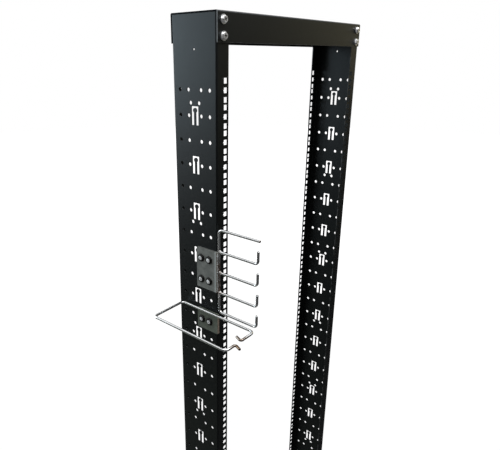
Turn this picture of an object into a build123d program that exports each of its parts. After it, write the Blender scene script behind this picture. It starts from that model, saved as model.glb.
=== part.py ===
from build123d import *
import math
import os

# Rack pitch: one unit has three square holes and repeats down the posts
unit_height = 44.45
unit_count = 42
square_hole_offset = 15.875
square_hole_size = 9.5
square_hole_inset = 23.45
middle_hole_notch_radius = 1.3

# Posts: two C channels of bent sheet, their webs on the outer sides
rack_width = 512
flange_reach = 31
post_depth = 103.5
post_sheet = 2
bend_inner_radius = 1
post_end_margin = 100.3

# Round holes in the webs: four to a unit at shares of half the post's depth, a pair every few
# units, one near each end
web_hole_radius = 3.5
web_column_shares = (0.289855, 0.676329)
pair_column = 10
pair_unit_step = 5
end_hole_radius = 2
end_hole_inset = 56

# Tie slots in the webs, on every second unit from the second one down
tie_unit_step = 2
tie_slot_width = 17
tie_slot_height = 33
tie_stem_width = 4.4
tie_head_radius = 4.25
tie_head_gap = 2.75

# Top channel laid over both posts
top_sheet = 2
top_flange_height = 49

# Base angles bolted to the front and the rear of the posts
base_sheet = 4
base_bend_inner_radius = 3
base_upright_height = 60
base_reach = 140
base_corner_chamfer = 12
anchor_hole_radius = 7
anchor_end_inset = 56
anchor_front_inset = 60

# Frame bolts: two to a joint, a washer under the head and a nut inside the post
bolt_inset = 15
top_bolt_inset = 13.5
bolt_pitch = 25.4
base_bolt_height = 20
bolt_radius = 3
bolt_hole_clearance = 0.25
bolt_head_flats = 10
bolt_head_height = 3.9
bolt_head_bevel = 0.6
bolt_tip_length = 3
bolt_tip_bevel = 0.6
bolt_recess_length = 6.6
bolt_recess_width = 1.8
bolt_recess_depth = 1.8
washer_radius = 7.6
washer_thickness = 1.4
nut_height = 5
nut_bevel = 0.6
nut_clearance = 0.1

# Turns of the fasteners about their axes, in degrees
hex_turn = 30
bolt_turn_step = 23
nut_turn_step = 17
screw_turn_step = 31

# Cable manager plates on the outer face of the left web
plate_thickness = 5
plate_overhang = 4.5
plate_rear_margin = 11.75
plate_lift = 0.5
plate_corner_radius = 1.5
finger_plate_unit = 7
finger_plate_units = 2
finger_plate_height = 83
ring_plate_unit = 10
ring_plate_units = 1
ring_plate_height = 43

# Wire fingers: five in a column, welded to an upright at the plate's front edge
wire_radius = 2.5
wire_bend_radius = 7
wire_end_round = 0.7
finger_count = 5
finger_pitch = 42
finger_lift = 2
top_finger_lift = 1.7
finger_reach = 93
finger_bend_reach = 89.4
finger_tip_rise = 24.2

# Wire ring: flat, welded along its inner side to the upper edge of its plate
ring_width = 80.2
ring_front_reach = 90.2
ring_rear_reach = 39.2
ring_corner_radius = 9
ring_drop = 0.5
ring_gate_place = 46.2
ring_gate_gap = 15.3
ring_hook_reach = 15
ring_hook_lean = 6.5
ring_hook_bend_radius = 3.5

# Manager screws in cup washers, with nuts inside the post
screw_radius = 3
screw_tip_length = 2
screw_nut_flats = 10
screw_nut_height = 5
screw_head_radius = 4.9
screw_head_dome = 1
screw_recess_length = 5.4
screw_recess_width = 1.1
screw_recess_depth = 1.8
cup_radius = 8
cup_rim_radius = 6.4
cup_edge = 1
cup_height = 3
cup_clearance = 0.1

# Every cutter runs past the faces it cuts by this much
overrun = 6

# Places that follow from the sizes above; X runs right, Y to the rear, Z up from the floor
post_length = unit_count * unit_height + 2 * post_end_margin
rack_height = post_length + bend_inner_radius + top_sheet
half_width = rack_width / 2
half_depth = post_depth / 2
square_hole_column = half_width - square_hole_inset
web_column_inner, web_column_outer = (share * half_depth for share in web_column_shares)
anchor_column = half_width - anchor_end_inset
bend_reach = bend_inner_radius + post_sheet
top_face = half_depth + top_sheet
top_grip = top_sheet + post_sheet
base_face = half_depth + base_sheet
base_grip = base_sheet + post_sheet
plate_face = half_width + plate_thickness
plate_front = half_depth + plate_overhang
plate_rear = web_column_inner - plate_rear_margin
plate_length = plate_front - plate_rear
manager_grip = plate_thickness + post_sheet
top_unit_z = post_length - post_end_margin - unit_height / 2
finger_plate_z = top_unit_z - (finger_plate_unit + (finger_plate_units - 1) / 2) * unit_height + plate_lift
finger_x = -half_width - plate_thickness / 2
finger_rod_y = -plate_front - wire_radius
ring_plate_z = top_unit_z - (ring_plate_unit + (ring_plate_units - 1) / 2) * unit_height + plate_lift
ring_z = ring_plate_z + ring_plate_height / 2 - ring_drop
ring_inner_x = -plate_face - wire_radius


def unit_z(unit):
    """Height of a unit's middle hole; unit 0 is the top one."""
    return top_unit_z - unit * unit_height


def channel_profile(width, reach, sheet, inner_radius):
    """U section with its web on X = 0 along Y and its two flanges towards +X."""
    outer = Rectangle(reach, width, align=(Align.MIN, Align.CENTER))
    outer = fillet(outer.vertices().sort_by(Axis.X)[:2], inner_radius + sheet)
    inner = Pos(sheet, 0) * Rectangle(reach, width - 2 * sheet, align=(Align.MIN, Align.CENTER))
    inner = fillet(inner.vertices().sort_by(Axis.X)[:2], inner_radius)
    return outer - inner


def angle_profile(upright, reach, sheet, inner_radius):
    """L section with its upright leg on X = 0 and its flat leg on Y = 0, towards +X."""
    outer = Rectangle(reach, upright, align=(Align.MIN, Align.MIN))
    outer = fillet(outer.vertices().sort_by_distance((0, 0))[0], inner_radius + sheet)
    inner = Pos(sheet, sheet) * Rectangle(reach, upright, align=(Align.MIN, Align.MIN))
    inner = fillet(inner.vertices().sort_by_distance((0, 0))[0], inner_radius)
    return outer - inner


def hex_prism(flats, height, bevel):
    """Six-sided head or nut standing on Z = 0, its corners rounded off at the top."""
    prism = extrude(RegularPolygon(flats / 2, 6, major_radius=False, rotation=hex_turn), amount=height)
    corner_radius = flats / 2 / math.cos(math.pi / 6)
    envelope = Cylinder(corner_radius, height, align=(Align.CENTER, Align.CENTER, Align.MIN))
    return prism & chamfer(envelope.edges().sort_by(Axis.Z)[-1], bevel)


def cross_recess(length, width, depth):
    """Cutter for a cross slot whose floor lies the given depth under Z = 0."""
    slot = Pos(0, 0, -depth) * Box(length, width, depth + overrun, align=(Align.CENTER, Align.CENTER, Align.MIN))
    return slot + Rot(0, 0, 90) * slot


def bent_wire(points, bend_radii):
    """Round wire bent along a line of points, its cut ends slightly rounded."""
    path = FilletPolyline(*points, radius=bend_radii)
    wire = sweep(Plane(origin=path @ 0, z_dir=path % 0) * Circle(wire_radius), path=path)
    circles = wire.edges().filter_by(GeomType.CIRCLE)
    return fillet([circles.sort_by_distance(end)[0] for end in (path @ 0, path @ 1)], wire_end_round)


def outward_y(x, y, z):
    """Place on a front or rear face, its local +Z pointing away from the post."""
    return Pos(x, y, z) * Rot(-90 if y > 0 else 90, 0, 0)


def outward_left(y, z):
    """Place on the outer face of a manager plate, its local +Z pointing away from the web."""
    return Pos(-plate_face, y, z) * Rot(0, -90, 0)


def joint_heights(lowest):
    return [lowest, lowest + bolt_pitch]


def top_joint_heights():
    return joint_heights(rack_height - top_bolt_inset - bolt_pitch)


def base_joint_heights():
    return joint_heights(base_bolt_height)


def joint_columns():
    return [-half_width + bolt_inset, half_width - bolt_inset]


def joint_seats(face_y, heights):
    return [outward_y(x, face_y, z) for x in joint_columns() for z in heights]


def manager_seats(first_unit, units):
    seats = []
    for unit in range(first_unit, first_unit + units):
        seats.append(outward_left(-web_column_inner, unit_z(unit)))
        seats.append(outward_left(-web_column_outer, unit_z(unit)))
    return seats


def square_hole_cutter(notched):
    """Prism through both flanges; the middle hole of a unit has a notch towards the web."""
    face = Rectangle(square_hole_size, square_hole_size)
    if notched:
        face += Pos(-square_hole_size / 2, 0) * Circle(middle_hole_notch_radius)
    return Rot(90, 0, 0) * extrude(face, amount=half_depth + overrun, both=True)


def tie_slot_cutter():
    """Prism through the web: a U slot round a stem with a round head."""
    slot = Rectangle(tie_slot_width, tie_slot_height)
    head_height = tie_slot_height / 2 - tie_head_gap - tie_head_radius
    stem = Rectangle(tie_stem_width, tie_slot_height / 2 + head_height, align=(Align.CENTER, Align.MIN))
    slot -= Pos(0, -tie_slot_height / 2) * stem
    slot -= Pos(0, head_height) * Circle(tie_head_radius)
    return Plane.YZ * extrude(slot, amount=post_sheet + overrun, both=True)


def round_cutter(radius, reach):
    """Cylinder along Z that reaches the given distance to both sides of its place."""
    return Cylinder(radius, 2 * reach)


def web_cutters():
    cutters = []
    hole = Rot(0, 90, 0) * round_cutter(web_hole_radius, post_sheet + overrun)
    end_hole = Rot(0, 90, 0) * round_cutter(end_hole_radius, post_sheet + overrun)
    tie_slot = tie_slot_cutter()
    for unit in range(unit_count):
        for column in (-web_column_outer, -web_column_inner, web_column_inner, web_column_outer):
            cutters.append(Pos(-half_width, column, unit_z(unit)) * hole)
    for unit in range(1, unit_count, tie_unit_step):
        cutters.append(Pos(-half_width, 0, unit_z(unit)) * tie_slot)
    for unit in range(0, unit_count, pair_unit_step):
        for column in (-pair_column, pair_column):
            cutters.append(Pos(-half_width, column, unit_z(unit) - unit_height / 2) * hole)
    for z in (end_hole_inset, post_length - end_hole_inset):
        cutters.append(Pos(-half_width, 0, z) * end_hole)
    return cutters


def flange_cutters():
    cutters = []
    plain, notched = square_hole_cutter(False), square_hole_cutter(True)
    for unit in range(unit_count):
        for cutter, offset in ((plain, -square_hole_offset), (notched, 0), (plain, square_hole_offset)):
            cutters.append(Pos(-square_hole_column, 0, unit_z(unit) + offset) * cutter)
    bolt_hole = Rot(90, 0, 0) * round_cutter(bolt_radius + bolt_hole_clearance, half_depth + overrun)
    for z in top_joint_heights() + base_joint_heights():
        cutters.append(Pos(-half_width + bolt_inset, 0, z) * bolt_hole)
    return cutters


def left_post_web():
    """The post's outer side with both its bends, up to where the flat flanges start."""
    profile = channel_profile(post_depth, bend_reach, post_sheet, bend_inner_radius)
    return Pos(-half_width, 0, 0) * extrude(profile, amount=post_length) - web_cutters()


def left_post_flanges():
    """The post's front and rear flanges, in that order."""
    blank = Box(flange_reach - bend_reach, post_depth, post_length, align=(Align.MIN, Align.CENTER, Align.MIN))
    hollow = Box(flange_reach, post_depth - 2 * post_sheet, post_length, align=(Align.MIN, Align.CENTER, Align.MIN))
    pair = Pos(-half_width + bend_reach, 0, 0) * (blank - hollow) - flange_cutters()
    return pair.solids().sort_by(Axis.Y)


def top_channel():
    """Inverted channel whose flanges lie on the front and rear faces of both posts."""
    profile = channel_profile(post_depth + 2 * top_sheet, top_flange_height, top_sheet, bend_inner_radius)
    bar = Pos(-half_width, 0, rack_height) * Rot(0, 90, 0) * extrude(profile, amount=rack_width)
    hole = Rot(90, 0, 0) * round_cutter(bolt_radius + bolt_hole_clearance, half_depth + overrun)
    return bar - [Pos(x, 0, z) * hole for x in joint_columns() for z in top_joint_heights()]


def front_base_angle():
    profile = angle_profile(base_upright_height, base_reach, base_sheet, base_bend_inner_radius)
    end = Plane(origin=(half_width, -half_depth, 0), x_dir=(0, -1, 0), z_dir=(-1, 0, 0))
    bar = end * extrude(profile, amount=rack_width)
    corners = bar.edges().filter_by(Axis.Z).group_by(Axis.Y)[0]
    bar = chamfer(corners, base_corner_chamfer)
    bolt_hole = Rot(90, 0, 0) * round_cutter(bolt_radius + bolt_hole_clearance, half_depth)
    anchor_hole = round_cutter(anchor_hole_radius, base_sheet + overrun)
    bar -= [Pos(x, -half_depth, z) * bolt_hole for x in joint_columns() for z in base_joint_heights()]
    anchor_y = -half_depth - base_reach + anchor_front_inset
    return bar - [Pos(x, anchor_y, 0) * anchor_hole for x in (-anchor_column, anchor_column)]


def rear_base_angle():
    return mirror(front_base_angle(), about=Plane.XZ)


def bolt(grip):
    """Bolt standing on its washer, its head up; the washer's underside is at Z = 0."""
    head = Pos(0, 0, washer_thickness) * hex_prism(bolt_head_flats, bolt_head_height, bolt_head_bevel)
    recess = cross_recess(bolt_recess_length, bolt_recess_width, bolt_recess_depth)
    head -= Pos(0, 0, washer_thickness + bolt_head_height) * recess
    length = washer_thickness + grip + nut_height + bolt_tip_length
    shank = Cylinder(bolt_radius, length, align=(Align.CENTER, Align.CENTER, Align.MAX))
    shank = chamfer(shank.edges().sort_by(Axis.Z)[0], bolt_tip_bevel)
    return head + Pos(0, 0, washer_thickness) * shank


def washer():
    ring = Circle(washer_radius) - Circle(bolt_radius + bolt_hole_clearance)
    return extrude(ring, amount=washer_thickness)


def nut(flats, height, hole_radius, grip):
    """Nut turned over and drawn up under a joint that is grip thick."""
    prism = hex_prism(flats, height, nut_bevel) - round_cutter(hole_radius, height + overrun)
    return Pos(0, 0, -grip) * Rot(180, 0, 0) * prism


def turned(seats, shape, step):
    """The shape on each seat, each one turned a little further than the one before."""
    return Compound(children=[seat * Rot(0, 0, index * step) * shape for index, seat in enumerate(seats)])


def top_bolts(side):
    return turned(joint_seats(side * top_face, top_joint_heights()), bolt(top_grip), bolt_turn_step)


def top_washers(side):
    return turned(joint_seats(side * top_face, top_joint_heights()), washer(), 0)


def top_nuts(side):
    piece = nut(bolt_head_flats, nut_height, bolt_radius + nut_clearance, top_grip)
    return turned(joint_seats(side * top_face, top_joint_heights()), piece, nut_turn_step)


def base_bolts(side):
    return turned(joint_seats(side * base_face, base_joint_heights()), bolt(base_grip), bolt_turn_step)


def base_washers(side):
    return turned(joint_seats(side * base_face, base_joint_heights()), washer(), 0)


def base_nuts(side):
    piece = nut(bolt_head_flats, nut_height, bolt_radius + nut_clearance, base_grip)
    return turned(joint_seats(side * base_face, base_joint_heights()), piece, nut_turn_step)


def manager_plate(center_z, height, seats):
    """Flat plate on the web's outer face that reaches just past the post's front."""
    face = RectangleRounded(height, plate_length, plate_corner_radius)
    middle_y = plate_length / 2 - plate_front
    plate = Pos(-half_width, middle_y, center_z) * Rot(0, -90, 0) * extrude(face, amount=plate_thickness)
    hole = round_cutter(web_hole_radius, plate_thickness + overrun)
    return plate - [seat * hole for seat in seats]


def manager_screw():
    """Raised countersunk screw whose cup washer stands on Z = 0."""
    head = Cone(screw_radius, screw_head_radius, cup_height, align=(Align.CENTER, Align.CENTER, Align.MIN))
    crown_radius = (screw_head_radius**2 + screw_head_dome**2) / (2 * screw_head_dome)
    crown = Pos(0, 0, cup_height + screw_head_dome - crown_radius) * Sphere(crown_radius)
    lens = Cylinder(screw_head_radius, screw_head_dome, align=(Align.CENTER, Align.CENTER, Align.MIN))
    head += Pos(0, 0, cup_height) * lens & crown
    recess = cross_recess(screw_recess_length, screw_recess_width, screw_recess_depth)
    head -= Pos(0, 0, cup_height + screw_head_dome) * recess
    length = manager_grip + screw_nut_height + screw_tip_length
    return head + Cylinder(screw_radius, length, align=(Align.CENTER, Align.CENTER, Align.MAX))


def cup_washer():
    """Black cup that holds a screw head; its hole is wider than the head by a hair."""
    body = Cylinder(cup_radius, cup_edge, align=(Align.CENTER, Align.CENTER, Align.MIN))
    cone_height = cup_height - cup_edge
    body += Pos(0, 0, cup_edge) * Cone(
        cup_radius, cup_rim_radius, cone_height, align=(Align.CENTER, Align.CENTER, Align.MIN)
    )
    sink = Cone(
        screw_radius + cup_clearance,
        screw_head_radius + cup_clearance,
        cup_height,
        align=(Align.CENTER, Align.CENTER, Align.MIN),
    )
    return body - sink


def manager_nut():
    return nut(screw_nut_flats, screw_nut_height, screw_radius + nut_clearance, manager_grip)


def finger_places():
    """Heights of the fingers, from the top one down."""
    middle = finger_plate_z + finger_lift
    return [middle + ((finger_count - 1) / 2 - index) * finger_pitch for index in range(finger_count)]


def finger_points(z):
    """A finger from the upright wire forward to its turned-up tip."""
    return [
        (finger_x, finger_rod_y, z),
        (finger_x, finger_rod_y - finger_bend_reach, z),
        (finger_x, finger_rod_y - finger_bend_reach, z + finger_tip_rise),
    ]


def finger_frame_wire():
    """One wire: the plain top finger, the upright and the bottom finger."""
    places = finger_places()
    top = places[0] + top_finger_lift
    start = [(finger_x, finger_rod_y - finger_reach, top), (finger_x, finger_rod_y, top)]
    return bent_wire(start + finger_points(places[-1]), wire_bend_radius)


def finger(index):
    """A middle finger, its end coped round the upright that carries it."""
    places = finger_places()
    upright = Pos(finger_x, finger_rod_y, places[index]) * round_cutter(wire_radius, finger_pitch)
    return bent_wire(finger_points(places[index]), wire_bend_radius) - upright


def ring_wire():
    """Flat ring of wire, open in the middle of its front side, its ends bent apart."""
    rear, front = ring_rear_reach - plate_rear, -plate_front - ring_front_reach
    gate = ring_inner_x - ring_gate_place
    outer_end, inner_end = gate - ring_gate_gap / 2, gate + ring_gate_gap / 2
    points = [
        (outer_end - ring_hook_lean, front - ring_hook_reach),
        (outer_end, front),
        (ring_inner_x - ring_width, front),
        (ring_inner_x - ring_width, rear),
        (ring_inner_x, rear),
        (ring_inner_x, front),
        (inner_end, front),
        (inner_end + ring_hook_lean, front + ring_hook_reach),
    ]
    corner, hook = ring_corner_radius, ring_hook_bend_radius
    return bent_wire([(x, y, ring_z) for x, y in points], [hook, corner, corner, corner, corner, hook])


front, rear = -1, 1
web = left_post_web()
front_flange, rear_flange = left_post_flanges()
finger_seats = manager_seats(finger_plate_unit, finger_plate_units)
ring_seats = manager_seats(ring_plate_unit, ring_plate_units)
pieces = {
    "left_post_web": web,
    "left_post_front_flange": front_flange,
    "left_post_rear_flange": rear_flange,
    "right_post_web": mirror(web, about=Plane.YZ),
    "right_post_front_flange": mirror(front_flange, about=Plane.YZ),
    "right_post_rear_flange": mirror(rear_flange, about=Plane.YZ),
    "top_channel": top_channel(),
    "front_base_angle": front_base_angle(),
    "rear_base_angle": rear_base_angle(),
    "top_bolts_front": top_bolts(front),
    "top_bolts_rear": top_bolts(rear),
    "top_washers_front": top_washers(front),
    "top_washers_rear": top_washers(rear),
    "top_nuts_front": top_nuts(front),
    "top_nuts_rear": top_nuts(rear),
    "base_bolts_front": base_bolts(front),
    "base_bolts_rear": base_bolts(rear),
    "base_washers_front": base_washers(front),
    "base_washers_rear": base_washers(rear),
    "base_nuts_front": base_nuts(front),
    "base_nuts_rear": base_nuts(rear),
    "finger_plate": manager_plate(finger_plate_z, finger_plate_height, finger_seats),
    "finger_frame_wire": finger_frame_wire(),
    "finger_upper": finger(1),
    "finger_middle": finger(2),
    "finger_lower": finger(3),
    "finger_screws": turned(finger_seats, manager_screw(), screw_turn_step),
    "finger_cup_washers": turned(finger_seats, cup_washer(), 0),
    "finger_nuts": turned(finger_seats, manager_nut(), nut_turn_step),
    "ring_plate": manager_plate(ring_plate_z, ring_plate_height, ring_seats),
    "ring_wire": ring_wire(),
    "ring_screws": turned(ring_seats, manager_screw(), screw_turn_step),
    "ring_cup_washers": turned(ring_seats, cup_washer(), 0),
    "ring_nuts": turned(ring_seats, manager_nut(), nut_turn_step),
}
os.makedirs("parts", exist_ok=True)
for name, piece in pieces.items():
    export_step(piece, f"parts/{name}.step")
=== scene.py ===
import math

import bmesh
import bpy
from mathutils import Matrix, Vector, noise


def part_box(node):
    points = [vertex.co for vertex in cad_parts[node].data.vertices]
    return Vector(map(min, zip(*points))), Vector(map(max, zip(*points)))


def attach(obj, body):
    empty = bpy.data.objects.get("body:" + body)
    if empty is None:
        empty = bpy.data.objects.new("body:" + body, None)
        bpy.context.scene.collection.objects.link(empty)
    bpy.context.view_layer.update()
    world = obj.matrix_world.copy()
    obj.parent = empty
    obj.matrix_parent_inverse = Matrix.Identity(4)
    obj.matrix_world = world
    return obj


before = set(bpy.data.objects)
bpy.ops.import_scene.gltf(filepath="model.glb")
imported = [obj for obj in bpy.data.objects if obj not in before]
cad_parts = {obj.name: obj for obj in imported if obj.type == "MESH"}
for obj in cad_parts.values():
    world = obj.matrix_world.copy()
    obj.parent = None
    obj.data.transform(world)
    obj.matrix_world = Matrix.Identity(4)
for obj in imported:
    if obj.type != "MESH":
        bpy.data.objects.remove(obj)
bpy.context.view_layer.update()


# Posts
# Two upright C sections of bent steel sheet, punched with square, round and tie slots. They are
# powder coated in satin black; each is a web with its bends and two flanges without a seam.

MM = 0.001


class Shade:
    """A value or colour on a surface; sums and products of values add Math nodes beside it."""

    def __init__(self, socket):
        self.socket = socket

    def node(self, kind, settings, inputs, output=0):
        """Adds a node, its settings first and then its inputs, and gives one of its outputs."""
        tree = self.socket.id_data
        made = tree.nodes.new(kind)
        for name, value in settings.items():
            setattr(made, name, value)
        for name, value in inputs.items():
            if isinstance(value, Shade):
                tree.links.new(value.socket, made.inputs[name])
            else:
                made.inputs[name].default_value = value
        return Shade(made.outputs[output])

    def math(self, operation, first, second):
        return self.node("ShaderNodeMath", {"operation": operation}, {0: first, 1: second})

    def __add__(self, other):
        return self.math("ADD", self, other)

    def __radd__(self, other):
        return self.math("ADD", other, self)

    def __sub__(self, other):
        return self.math("SUBTRACT", self, other)

    def __rsub__(self, other):
        return self.math("SUBTRACT", other, self)

    def __mul__(self, other):
        return self.math("MULTIPLY", self, other)

    def __rmul__(self, other):
        return self.math("MULTIPLY", other, self)

    def __abs__(self):
        return self.math("ABSOLUTE", self, 0.0)

    def larger(self, other):
        return self.math("MAXIMUM", self, other)

    def folded(self, pitch):
        """Runs from 0 up to pitch and back, again and again."""
        return self.math("PINGPONG", self, pitch)

    def axis(self, index):
        """One coordinate of a place: 0 to the right, 1 to the rear, 2 up."""
        return self.node("ShaderNodeSeparateXYZ", {}, {0: self}, index)

    def stretched(self, scale):
        return self.node("ShaderNodeMapping", {}, {"Vector": self, "Scale": scale})

    def cloud(self, size, detail=2.0):
        """Soft noise whose lumps are about the given size in metres."""
        inputs = {"Vector": self, "Scale": 1 / size, "Detail": detail}
        return self.node("ShaderNodeTexNoise", {}, inputs)

    def grain(self, size):
        """Round cells of the given size in metres; the value is the distance to a cell's middle."""
        return self.node("ShaderNodeTexVoronoi", {}, {"Vector": self, "Scale": 1 / size})

    def step(self, low, high):
        """0 up to low, 1 from high on, smooth between them."""
        settings = {"interpolation_type": "SMOOTHSTEP"}
        return self.node("ShaderNodeMapRange", settings, {0: self, 1: low, 2: high})

    def blend(self, low, high):
        """The colour low where this value is 0, high where it is 1."""
        return self.node("ShaderNodeMix", {"data_type": "RGBA"}, {0: self, 6: low, 7: high}, 2)

    def bump(self, strength, depth):
        inputs = {"Height": self, "Strength": strength, "Distance": depth}
        return self.node("ShaderNodeBump", {}, inputs)


def finish(name, constants, surface):
    """A material: constants stay on its shader, and surface gives what changes with the place."""
    material = bpy.data.materials.new(name)
    material.use_nodes = True
    tree = material.node_tree
    shader = tree.nodes["Principled BSDF"]
    for socket, value in constants.items():
        shader.inputs[socket].default_value = value
    place = Shade(tree.nodes.new("ShaderNodeTexCoord").outputs["Object"])
    for socket, shade in surface(place).items():
        tree.links.new(shade.socket, shader.inputs[socket])
    return material


def dress(names, material):
    for name in names:
        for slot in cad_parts[name].material_slots:
            slot.material = material


def grey(value, warmth=0.0):
    return (value * (1 + warmth), value, value * (1 - warmth), 1.0)


COAT = {"Specular IOR Level": 0.42, "Specular Tint": (0.84, 0.92, 1.0, 1.0), "IOR": 1.5}
DUST_TOP = 60 * MM


def powder_coat(place, wear_and_highlight):
    """Satin black powder: fine orange peel, faint clouds, dust near the floor, scuffs, painted edge
    highlights.
    """
    height = place.axis(2)
    clouds = place.cloud(180 * MM, 4.0)
    peel = place.cloud(1.6 * MM)
    specks = place.grain(0.9 * MM).step(0.16, 0.08)
    colour = clouds.blend((0.0018, 0.0021, 0.0017, 1), (0.0030, 0.0034, 0.0028, 1))
    colour = (specks * 0.3).blend(colour, grey(0.012))
    dust = height.step(DUST_TOP, 0.0) * place.cloud(14 * MM, 8.0).step(0.2, 0.85)
    colour = (dust * 0.2).blend(colour, grey(0.05, 0.1))
    # Lighter marks from the given mask: real scuffs on the base angles, painted highlights on the posts'
    # and channel's edges.
    colour = wear_and_highlight(place).blend(colour, grey(0.2, -0.02))
    roughness = 0.36 + clouds * 0.08 + place.cloud(9 * MM) * 0.06 + dust * 0.25
    return {"Base Color": colour, "Roughness": roughness, "Normal": peel.bump(0.22, 0.12 * MM)}


FLANGE_EDGE = 225 * MM


def post_edge_powder_and_highlight(place):
    """Thin powder and a painted highlight on the flanges' free edges, where the sheet was cut."""
    inner = abs(place.axis(0)).step(FLANGE_EDGE + 0.5 * MM, FLANGE_EDGE + 0.1 * MM)
    return inner * place.cloud(12 * MM).step(0.35, 0.7) * 0.3


post_coat = finish("post_powder_coat", COAT, lambda place: powder_coat(place, post_edge_powder_and_highlight))
for side in ("left", "right"):
    dress([f"{side}_post_{part}" for part in ("web", "front_flange", "rear_flange")], post_coat)


# Top channel
# An inverted channel of the same sheet laid over both posts and bolted to them. Its cut ends
# carry painted shade, nearly black, but those of the front flange carry a painted light grey highlight.

CHANNEL_END = 256 * MM
CHANNEL_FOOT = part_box("top_channel")[0].z
FRONT_SHEET = -51.75 * MM


# Painted highlight on the front flange's cut ends and, weaker, along the channel's lower edge.
def channel_edge_highlight(place):
    ends = abs(place.axis(0)).step(CHANNEL_END - 0.5 * MM, CHANNEL_END - 0.05 * MM) * 0.9
    ends = ends * place.axis(1).step(FRONT_SHEET + 0.3 * MM, FRONT_SHEET - 0.1 * MM)
    foot = place.axis(2).step(CHANNEL_FOOT + 0.5 * MM, CHANNEL_FOOT + 0.1 * MM) * 0.3
    return ends.larger(foot) * (0.55 + 0.45 * place.cloud(7 * MM).step(0.3, 0.6))


def channel_surface(place):
    """The coat, with painted shade, nearly black metal, on the cut ends of the top sheet and the rear
    flange.
    """
    coat = powder_coat(place, channel_edge_highlight)
    # Painted shade: nearly black metal on the cut ends behind the front sheet.
    ends = abs(place.axis(0)).step(CHANNEL_END - 0.2 * MM, CHANNEL_END - 0.05 * MM)
    black = ends * place.axis(1).step(FRONT_SHEET - 0.1 * MM, FRONT_SHEET + 0.3 * MM)
    coat["Base Color"] = black.blend(coat["Base Color"], grey(0.004))
    coat["Metallic"] = black
    return coat


channel_coat = finish("channel_powder_coat", COAT, channel_surface)
dress(["top_channel"], channel_coat)


# Base angles
# Two heavy steel angles bolted to the feet of the posts, with holes for floor anchors. They have
# the posts' black powder coat, scuffed on top by boots and dusty at the floor.

BASE_SHEET = 4 * MM


def base_scuffs(place):
    foot = place.axis(2).step(BASE_SHEET + 1 * MM, BASE_SHEET)
    streaks = place.stretched((1.0, 6.0, 1.0)).cloud(14 * MM, 6.0).step(0.6, 0.74)
    return foot * streaks * place.cloud(90 * MM).step(0.45, 0.7) * 0.16


base_coat = finish("base_powder_coat", COAT, lambda place: powder_coat(place, base_scuffs))
dress(["front_base_angle", "rear_base_angle"], base_coat)


# Frame bolts, washers and nuts
# Hexagon bolts of zinc plated steel with a cross slot, drawn up on flat washers, their nuts
# inside the posts. Plating, rolled and turned marks show as fine lines and soft stains.

ZINC = {"Metallic": 0.8}
BOLT_COLUMN = 241 * MM
BOLT_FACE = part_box("top_bolts_rear")[1].y
BOLT_HEIGHTS = {"top": (2031.6, 2057.0), "base": (20.0, 45.4)}
HALF_PITCH = 12.7 * MM
SLOT_DEPTH = 2 * MM
SLOT_NEAR, SLOT_FAR = 13e-6, 15e-6  # squares of the slots' reach, in square metres


def bolt_slot_dirt_and_shade(place):
    """The slots in the bolts' heads, with dirt and painted shade: near a bolt's middle, just under its
    face.
    """
    low, high = BOLT_HEIGHTS["base"][0] * MM, BOLT_HEIGHTS["top"][1] * MM
    middle, half = (low + high) / 2, (high - low) / 2
    depth = abs(place.axis(1))
    across = abs(abs(place.axis(0)) - BOLT_COLUMN)
    along = abs(abs(abs(place.axis(2) - middle) - half + HALF_PITCH) - HALF_PITCH)
    near = (across * across + along * along).step(SLOT_FAR, SLOT_NEAR)
    near = near * depth.step(BOLT_FACE - 0.1 * MM, BOLT_FACE - 0.5 * MM)
    return near * depth.step(BOLT_FACE - SLOT_DEPTH - 0.4 * MM, BOLT_FACE - SLOT_DEPTH)


def zinc_plate(place):
    """Bright zinc: fine scratches, soft grey stains, dark dirt and painted shade in the slots."""
    scratches = place.stretched((1.0, 1.0, 9.0)).cloud(1.4 * MM, 5.0)
    stains = place.cloud(6 * MM, 3.0)
    colour = stains.step(0.35, 0.7).blend(grey(0.94, -0.01), grey(0.74, 0.01))
    # Dirt and painted shade in the bolts' slots.
    colour = (bolt_slot_dirt_and_shade(place) * 0.95).blend(colour, grey(0.02))
    roughness = 0.24 + scratches * 0.16 + stains * 0.12
    return {"Base Color": colour, "Roughness": roughness, "Normal": scratches.bump(0.12, 0.05 * MM)}


zinc = finish("zinc_plating", ZINC, zinc_plate)
for kind in ("bolts", "washers", "nuts"):
    dress([f"{place}_{kind}_{side}" for place in BOLT_HEIGHTS for side in ("front", "rear")], zinc)


# Bolt threads
# The rolled thread on the stub of each bolt past its nut: a sharp ridge of M6 pitch that winds
# round the shank. Only the stubs show it, the rest is inside the joint.

THREAD_SIDES = 18
THREAD_RADIUS, THREAD_PITCH, THREAD_CREST = 3 * MM, 1 * MM, 0.22 * MM
THREAD_SUNK, THREAD_BEVEL = 0.1 * MM, 0.6 * MM
BOLT_TIP = 41.75 * MM


def thread(mesh, tip, inward, turns):
    """Winds a ridge round the shank, back from its tip; inward is the way the tip points."""
    across = inward.orthogonal().normalized()
    start = tip - inward * (THREAD_BEVEL + THREAD_PITCH * turns)
    foot, half = THREAD_RADIUS - THREAD_SUNK, 0.38 * THREAD_PITCH
    corners = [
        mesh.verts.new(start + across * foot - inward * half),
        mesh.verts.new(start + across * (THREAD_RADIUS + THREAD_CREST)),
        mesh.verts.new(start + across * foot + inward * half),
    ]
    face = mesh.faces.new(corners)
    bmesh.ops.spin(mesh, geom=[face, *face.edges, *corners], cent=start, axis=inward,
                   dvec=inward * THREAD_PITCH / THREAD_SIDES, angle=math.tau * turns,
                   steps=THREAD_SIDES * turns)


def piece(name, mesh, material):
    """Turns a finished bmesh into a piece of the rack with its finish."""
    bmesh.ops.recalc_face_normals(mesh, faces=mesh.faces)
    data = bpy.data.meshes.new(name)
    mesh.to_mesh(data)
    mesh.free()
    data.materials.append(material)
    made = bpy.data.objects.new(name, data)
    bpy.context.scene.collection.objects.link(made)
    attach(made, "root")


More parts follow.
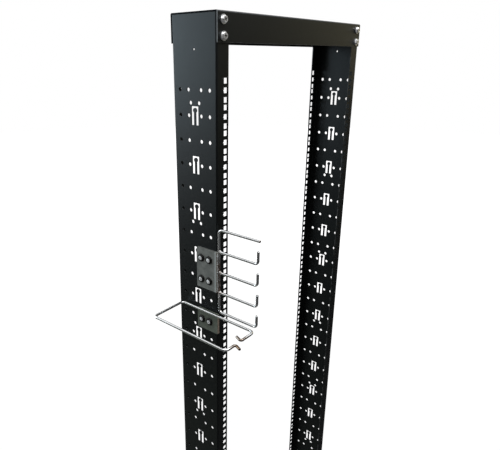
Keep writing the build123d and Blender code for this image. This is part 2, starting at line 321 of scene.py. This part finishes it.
for place, heights in BOLT_HEIGHTS.items():
    for side, sign in (("front", -1), ("rear", 1)):
        stubs = bmesh.new()
        for x in (-BOLT_COLUMN, BOLT_COLUMN):
            for height in heights:
                tip = Vector((x, sign * BOLT_TIP, height * MM))
                thread(stubs, tip, Vector((0, -sign, 0)), 2)
        piece(f"{place}_bolt_threads_{side}", stubs, zinc)


# Cable manager plates
# Two flat plates of thick steel screwed to the outside of the left web. The larger is light grey,
# the smaller darker; weld heat has tanned their front edges and handling has rubbed their rims.

PLATE_FACE, PLATE_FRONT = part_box("finger_plate")[0].x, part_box("finger_plate")[0].y
STRIP_WIDTH, STRIP_FADE, BAND_WIDTH, BAND_FADE = 5 * MM, 4.5 * MM, 3.2 * MM, 1 * MM
STRIP_PALE, BAND_BROWN = (0.37, 0.40, 0.395, 1), (0.11, 0.09, 0.075, 1)
TAN_DARK, TAN_LIGHT = (0.10, 0.062, 0.04, 1), (0.30, 0.24, 0.2, 1)


def plate_paint(dark, light, ground):
    """Thin paint on steel: soft mottling, a strip ground pale for the weld, a weld-tanned edge."""
    def surface(place):
        depth, face = place.axis(1), place.axis(0)
        mottle = place.cloud(11 * MM, 5.0)
        fine = place.cloud(0.8 * MM)
        colour = mottle.step(0.3, 0.7).blend(dark, light)
        outer = face.step(PLATE_FACE + 0.6 * MM, PLATE_FACE + 0.2 * MM)
        strip_end, band_end = PLATE_FRONT + STRIP_WIDTH, PLATE_FRONT + BAND_WIDTH
        strip = depth.step(strip_end + STRIP_FADE, strip_end) * outer
        colour = (strip * ground).blend(colour, STRIP_PALE)
        # A brown band along the front edge, beside the weld.
        band = depth.step(band_end + BAND_FADE, band_end) * outer
        colour = (band * ground).blend(colour, BAND_BROWN)
        edge = depth.step(PLATE_FRONT + 0.3 * MM, PLATE_FRONT + 0.05 * MM)
        tan = place.cloud(3 * MM, 4.0).step(0.25, 0.75).blend(TAN_DARK, TAN_LIGHT)
        colour = (edge * 0.85).blend(colour, tan)
        roughness = 0.38 + mottle * 0.16 + fine * 0.08
        return {"Base Color": colour, "Roughness": roughness, "Normal": fine.bump(0.2, 0.06 * MM)}
    return surface


PLATE = {"Specular IOR Level": 0.25}
light_paint = plate_paint((0.142, 0.150, 0.142, 1), (0.20, 0.208, 0.196, 1), 0.9)
dark_paint = plate_paint((0.092, 0.106, 0.086, 1), (0.128, 0.144, 0.118, 1), 0.0)
dress(["finger_plate"], finish("finger_plate_paint", PLATE, light_paint))
dress(["ring_plate"], finish("ring_plate_paint", PLATE, dark_paint))


# Wire fingers and ring
# Bright round wire, drawn, bent and plated. The top finger, the upright and the bottom finger are
# one wire, and three more are welded on; the ring lies flat on the small plate's upper edge.

WIRE_FRONT = -151.6 * MM
UPRIGHT_FRONT = -62 * MM
HEATED_LOW, HEATED_HIGH = 1572 * MM, 1625 * MM


def bright_wire(place):
    """Bright plating over drawn wire: lengthwise lines, a few dull spots, brown cut ends."""
    lines = place.stretched((9.0, 1.0, 9.0)).cloud(2.4 * MM, 4.0)
    dull = place.cloud(9 * MM, 3.0).step(0.55, 0.75)
    colour = dull.blend(grey(0.84, -0.01), grey(0.70, -0.01))
    depth, height = place.axis(1), place.axis(2)
    cut = depth.step(WIRE_FRONT + 0.5 * MM, WIRE_FRONT + 0.1 * MM)
    heated = height.step(HEATED_LOW - 6 * MM, HEATED_LOW)
    heated = heated * height.step(HEATED_HIGH + 25 * MM, HEATED_HIGH)
    heated = heated * depth.step(UPRIGHT_FRONT - 4 * MM, UPRIGHT_FRONT)
    heated = heated * place.cloud(7 * MM).step(0.3, 0.55)
    colour = (cut.larger(heated) * 0.8).blend(colour, (0.30, 0.16, 0.09, 1))
    roughness = 0.15 + lines * 0.1 + dull * 0.12
    return {"Base Color": colour, "Roughness": roughness, "Normal": lines.bump(0.06, 0.04 * MM)}


RING_GATE = Vector((-309.7, -146.4, 1522)) * MM
BURNT_NEAR, BURNT_FAR = 14 * MM, 34 * MM


def ring_surface(place):
    """The same wire, burnt brown round the ring's two ends, where it was heated to bend it."""
    coat = bright_wire(place)
    distance = place.node("ShaderNodeVectorMath", {"operation": "DISTANCE"}, {0: place, 1: RING_GATE}, 1)
    burnt = distance.step(BURNT_FAR, BURNT_NEAR) * (0.6 + place.cloud(3 * MM, 4.0) * 0.5)
    coat["Base Color"] = burnt.blend(coat["Base Color"], (0.14, 0.085, 0.045, 1))
    return coat


BARE = {"Metallic": 1.0}
FINGERS = ["finger_upper", "finger_middle", "finger_lower"]
dress(["finger_frame_wire", *FINGERS], finish("bright_wire", BARE, bright_wire))
dress(["ring_wire"], finish("ring_wire_plating", BARE, ring_surface))


# Finger welds
# Each of the three middle fingers is welded to the upright: a small bright collar of weld metal
# that flows from the upright on to the finger, slightly lumpy.

WIRE_RADIUS = 2.5 * MM
FINGER_X, UPRIGHT_Y = -258.5 * MM, -58.75 * MM
LUMP = 0.22 * MM


def lumpy(mesh, size, seed):
    """Moves each point of a weld in or out a little, as the metal set."""
    mesh.normal_update()
    for vert in mesh.verts:
        vert.co += vert.normal * LUMP * noise.noise(vert.co / size + Vector((seed, 0, 0)))


def weld_metal(place):
    """Bright weld metal with dull scale and brown heat tint in its hollows."""
    scale = place.cloud(1.5 * MM, 4.0)
    tint = place.cloud(5 * MM, 3.0).step(0.5, 0.7)
    colour = scale.step(0.4, 0.6).blend(grey(0.2, 0.04), grey(0.9))
    colour = (tint * 0.5).blend(colour, (0.22, 0.14, 0.09, 1))
    roughness = 0.42 + scale * 0.3
    return {"Base Color": colour, "Roughness": roughness, "Normal": scale.bump(0.3, 0.15 * MM)}


weld = finish("weld_metal", BARE, weld_metal)
# The collar's outline: radius round the finger, and way out from the upright's middle
COLLAR = [(0, 1.2), (4.6, 1.2), (3.55, 2.6), (2.95, 3.7), (2.66, 4.8), (2.35, 5.9), (0, 5.9)]
COLLAR_SIDES, COLLAR_SQUEEZE, MERGE = 28, 0.8, 0.01 * MM
collars = bmesh.new()
for name in FINGERS:
    middle = Vector((FINGER_X, UPRIGHT_Y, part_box(name)[0].z + WIRE_RADIUS))
    rim = [collars.verts.new(middle + Vector((0, -out * MM, radius * MM))) for radius, out in COLLAR]
    edges = [collars.edges.new(pair) for pair in zip(rim, rim[1:])]
    bmesh.ops.spin(collars, geom=rim + edges, cent=middle, axis=(0, 1, 0), angle=math.tau,
                   steps=COLLAR_SIDES, use_merge=True)
bmesh.ops.remove_doubles(collars, verts=collars.verts, dist=MERGE)
bmesh.ops.scale(collars, vec=(COLLAR_SQUEEZE, 1, 1), space=Matrix.Translation((-FINGER_X, 0, 0)),
                verts=collars.verts)
lumpy(collars, 1.2 * MM, 3)
piece("finger_welds", collars, weld)


# Plate welds
# The upright is welded along the finger plate's front edge on both sides, and the ring along the
# small plate: rows of overlapping ripples as the welder laid them.

RIPPLE, RIPPLE_POINTS, BEAD_SIDES = 2.4 * MM, 4, 12
EDGE_BEADS_X, EDGE_BEADS_Y, EDGE_BEAD_RADIUS = (-260.7, -256.7), -56.7, 1.5
EDGE_BEAD_END = 2
RING_BEADS_Y, RING_BEADS_X, RING_BEAD_RADIUS = (-6, -38), -261.5, 1.15
RING_BEAD_LENGTH, RING_BEAD_DROP = 15, 1.9


def ripple_bead(mesh, start, end, radius):
    """A round bead of ripples from start to end, closed at both ends."""
    run = end - start
    count = max(2, round(run.length / RIPPLE))
    across = run.orthogonal().normalized()
    points = [mesh.verts.new(start)]
    for index in range(count * RIPPLE_POINTS):
        share = (index + 0.5) / (count * RIPPLE_POINTS)
        swell = 0.78 + 0.22 * abs(math.sin(math.pi * share * count))
        swell *= min(1.0, 0.45 + 2.5 * min(share, 1 - share) * count / 4)
        points.append(mesh.verts.new(start + run * share + across * radius * swell))
    points.append(mesh.verts.new(end))
    edges = [mesh.edges.new(pair) for pair in zip(points, points[1:])]
    bmesh.ops.spin(mesh, geom=points + edges, cent=start, axis=run.normalized(), angle=math.tau,
                   steps=BEAD_SIDES, use_merge=True)


def bead_piece(name, runs, radius, seed):
    """One piece of several beads; the ends of their runs are in millimetres."""
    beads = bmesh.new()
    for start, end in runs:
        ripple_bead(beads, Vector(start) * MM, Vector(end) * MM, radius)
    bmesh.ops.remove_doubles(beads, verts=beads.verts, dist=MERGE)
    lumpy(beads, 1.6 * MM, seed)
    piece(name, beads, weld)


low, high = (corner.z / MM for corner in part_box("finger_plate"))
edge_runs = [((x, EDGE_BEADS_Y, low + EDGE_BEAD_END), (x, EDGE_BEADS_Y, high - EDGE_BEAD_END))
             for x in EDGE_BEADS_X]
bead_piece("finger_plate_welds", edge_runs, EDGE_BEAD_RADIUS * MM, 11)
ring_height = (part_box("ring_wire")[0].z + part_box("ring_wire")[1].z) / 2 / MM - RING_BEAD_DROP
ring_runs = [((RING_BEADS_X, y, ring_height), (RING_BEADS_X, y - RING_BEAD_LENGTH, ring_height))
             for y in RING_BEADS_Y]
bead_piece("ring_welds", ring_runs, RING_BEAD_RADIUS * MM, 29)


# Manager screws, cups and nuts
# Zinc plated screws with raised heads sit in glossy black cup washers, four on the large plate
# and two on the small one. Their nuts are inside the post.

dress(["finger_nuts", "ring_nuts"], zinc)
TOP_UNIT, UNIT = 1944.975 * MM, 44.45 * MM
SCREW_UNITS = {"finger": (7, 8), "ring": (10,)}
SCREW_DEPTHS = (-15 * MM, -35 * MM)
SCREW_TIP = -247 * MM
DISC, RIM = 13e-6, 17e-6  # squares of the radii where the bright disc ends and the dark rim begins


def screw_zinc(place):
    """Dull white zinc on the screws' raised heads, their rims made nearly black."""
    brushed = place.stretched((1.0, 6.0, 1.0)).cloud(1.2 * MM, 4.0)
    colour = brushed.step(0.35, 0.7).blend(grey(1.0, -0.01), grey(0.86))
    across = (place.axis(1) - SCREW_DEPTHS[0]).folded((SCREW_DEPTHS[0] - SCREW_DEPTHS[1]) / 2)
    along = (place.axis(2) - TOP_UNIT + SCREW_UNITS["ring"][0] * UNIT).folded(UNIT / 2)
    rim = (across * across + along * along).step(DISC, RIM)
    colour = (rim * 0.9).blend(colour, grey(0.01))
    roughness = 0.42 + brushed * 0.16
    return {"Base Color": colour, "Roughness": roughness, "Normal": brushed.bump(0.1, 0.04 * MM)}


dress(["finger_screws", "ring_screws"], finish("screw_zinc", {"Metallic": 0.6}, screw_zinc))


def black_cup(place):
    """Glossy black cup, its rim a little scratched by the driver."""
    scratches = place.stretched((1.0, 5.0, 1.0)).cloud(1.2 * MM, 4.0)
    colour = scratches.step(0.62, 0.75).blend(grey(0.003), grey(0.012))
    roughness = 0.1 + scratches * 0.14
    return {"Base Color": colour, "Roughness": roughness, "Normal": scratches.bump(0.08, 0.04 * MM)}


cup = finish("black_cup", {"Specular IOR Level": 0.25}, black_cup)
dress(["finger_cup_washers", "ring_cup_washers"], cup)
for place, units in SCREW_UNITS.items():
    stubs = bmesh.new()
    for unit in units:
        for depth in SCREW_DEPTHS:
            tip = Vector((SCREW_TIP, depth, TOP_UNIT - unit * UNIT))
            thread(stubs, tip, Vector((1, 0, 0)), 1)
    piece(f"{place}_screw_threads", stubs, zinc)


# Floor
# A plain pale studio floor. It is white where the camera, metal or glass looks at it and keeps
# the rack's soft shadow; it is not part of the rack.

FLOOR_RADIUS = 14.0
disc = bmesh.new()
bmesh.ops.create_circle(disc, cap_ends=True, segments=96, radius=FLOOR_RADIUS)
floor_data = bpy.data.meshes.new("floor")
disc.to_mesh(floor_data)
disc.free()
floor = bpy.data.objects.new("floor", floor_data)
floor.location.z = -0.5 * MM
bpy.context.scene.collection.objects.link(floor)
floor_material = bpy.data.materials.new("studio_floor")
floor_material.use_nodes = True
tree = floor_material.node_tree
paint = tree.nodes["Principled BSDF"]
paint.inputs["Base Color"].default_value = grey(0.45)
paint.inputs["Roughness"].default_value = 0.9
paint.inputs["Specular IOR Level"].default_value = 0.0
place = Shade(tree.nodes.new("ShaderNodeTexCoord").outputs["Object"])
rays = Shade(tree.nodes.new("ShaderNodeLightPath").outputs["Is Camera Ray"])
mirrored = Shade(rays.socket.node.outputs["Is Glossy Ray"])
mirrored = mirrored.larger(Shade(rays.socket.node.outputs["Is Transmission Ray"]))
away = place.node("ShaderNodeVectorMath", {"operation": "LENGTH"}, {0: place}, 1).step(1.0, 4.5)
paint.inputs["Emission Strength"].default_value = 1.0
looked_at = rays * (0.62 + away * 0.38)
glow = looked_at.larger(mirrored * (0.05 + away * 0.95))
tree.links.new(glow.blend(grey(0.0), grey(1.0)).socket, paint.inputs["Emission Color"])
floor_data.materials.append(floor_material)


# Studio light
# A white room for the camera, metal and glass, and a plain soft light for the rest: a cool soft
# box behind the left post, one overhead and a weak warm one to the right.

world = bpy.data.worlds.new("studio")
bpy.context.scene.world = world
world.use_nodes = True
sky = world.node_tree.nodes["Background"]
sky.inputs["Color"].default_value = grey(1.0)
rays = Shade(world.node_tree.nodes.new("ShaderNodeLightPath").outputs["Is Camera Ray"])
seen = rays.larger(Shade(rays.socket.node.outputs["Is Glossy Ray"]))
seen = seen.larger(Shade(rays.socket.node.outputs["Is Transmission Ray"]))
level = 0.5 + 0.5 * seen
world.node_tree.links.new(level.socket, sky.inputs["Strength"])


def soft_box(name, spot, target, width, height, watts, colour):
    lamp = bpy.data.lights.new(name, "AREA")
    lamp.shape = "RECTANGLE"
    lamp.size, lamp.size_y = width, height
    lamp.energy = watts
    lamp.color = colour
    made = bpy.data.objects.new(name, lamp)
    made.location = spot
    made.rotation_euler = (Vector(target) - Vector(spot)).to_track_quat("-Z", "Y").to_euler()
    made.visible_camera = False
    bpy.context.scene.collection.objects.link(made)


COOL, WHITE, WARM = (0.76, 0.93, 1.0), (1.0, 1.0, 1.0), (1.0, 0.88, 0.52)
soft_box("soft_box_left", (-1.5, 2.2, 2.2), (-0.25, 0.0, 1.9), 1.0, 1.0, 20.5, COOL)
soft_box("soft_box_above", (0.2, -0.4, 3.6), (0.0, 0.0, 1.0), 2.2, 2.2, 50, WHITE)
soft_box("soft_box_front", (2.2, -0.55, 2.0), (0.2, 0.0, 1.7), 1.0, 1.5, 3.9, WARM)


# Black flags
# Dark cloths round the studio, paler on the left: one on the floor, a low curtain nearly all
# round, a high one in front and one behind on the right. Only polished metal and paint mirror them.

FLAG_RADIUS, FLAG_STEP = 2.3, 5
# Each cloth: inner radius, height there and at the outer radius, first angle and turn in degrees
FLOOR_CLOTH = (0.05, 0.02, 0.02, 0, 360)
LOW_CURTAIN = (FLAG_RADIUS, 0.02, 1.2, 110, 340)
FRONT_CURTAIN = (FLAG_RADIUS, 1.2, 2.9, 143, 213)
REAR_CURTAIN = (FLAG_RADIUS, 1.9, 3.4, 15, 60)
curtain = bmesh.new()
for inner, low, high, first, turn in (FLOOR_CLOTH, LOW_CURTAIN, FRONT_CURTAIN, REAR_CURTAIN):
    start = math.radians(first)
    hem = [curtain.verts.new((math.cos(start) * radius, math.sin(start) * radius, height))
           for radius, height in ((inner, low), (FLAG_RADIUS, high))]
    edge = curtain.edges.new(hem)
    bmesh.ops.spin(curtain, geom=[edge, *hem], cent=(0, 0, 0), axis=(0, 0, 1),
                   angle=math.radians(turn), steps=turn // FLAG_STEP, use_merge=turn == 360)
flag_data = bpy.data.meshes.new("black_flags")
curtain.to_mesh(flag_data)
curtain.free()
flags = bpy.data.objects.new("black_flags", flag_data)


def cloth_colour(place):
    """Nearly black, but for the part that the left web mirrors, behind on the left."""
    beside = (place.axis(1) + place.axis(0) * 0.7).step(-0.2, 0.1)
    left = beside.blend(grey(0.10), (0.20, 0.215, 0.185, 1))
    return {"Base Color": place.axis(0).step(-0.2, 0.8).blend(left, grey(0.07))}


cloth = finish("black_cloth", {"Roughness": 1.0, "Specular IOR Level": 0.0}, cloth_colour)
flag_data.materials.append(cloth)
bpy.context.scene.collection.objects.link(flags)
flags.visible_camera = flags.visible_diffuse = flags.visible_shadow = False


# Camera
# It stands to the left of the rack, level with its top, and looks down along it. Its place and
# lens were fitted to the holes, bends and corners of the rack in the photograph.

SPOT = (-0.8877, -0.6005, 1.9983)
YAW, PITCH, ROLL = math.radians(49.070), math.radians(19.403), math.radians(-0.175)
camera_data = bpy.data.cameras.new("camera")
camera_data.lens = 34.646
camera_data.sensor_width = 36.0
camera_data.shift_x, camera_data.shift_y = 0.06478, 0.00374
camera_data.clip_start, camera_data.clip_end = 0.02, 60.0
ahead = Vector((math.sin(YAW) * math.cos(PITCH), math.cos(YAW) * math.cos(PITCH), -math.sin(PITCH)))
right = ahead.cross(Vector((0, 0, 1))).normalized()
above = right.cross(ahead)
rolled = right * math.cos(ROLL) + above * math.sin(ROLL)
above = above * math.cos(ROLL) - right * math.sin(ROLL)
turned = Matrix((rolled, above, -ahead)).transposed().to_4x4()
camera = bpy.data.objects.new("camera", camera_data)
camera.matrix_world = Matrix.Translation(SPOT) @ turned
bpy.context.scene.collection.objects.link(camera)
bpy.context.scene.camera = camera
bpy.context.scene.view_settings.view_transform = "Standard"
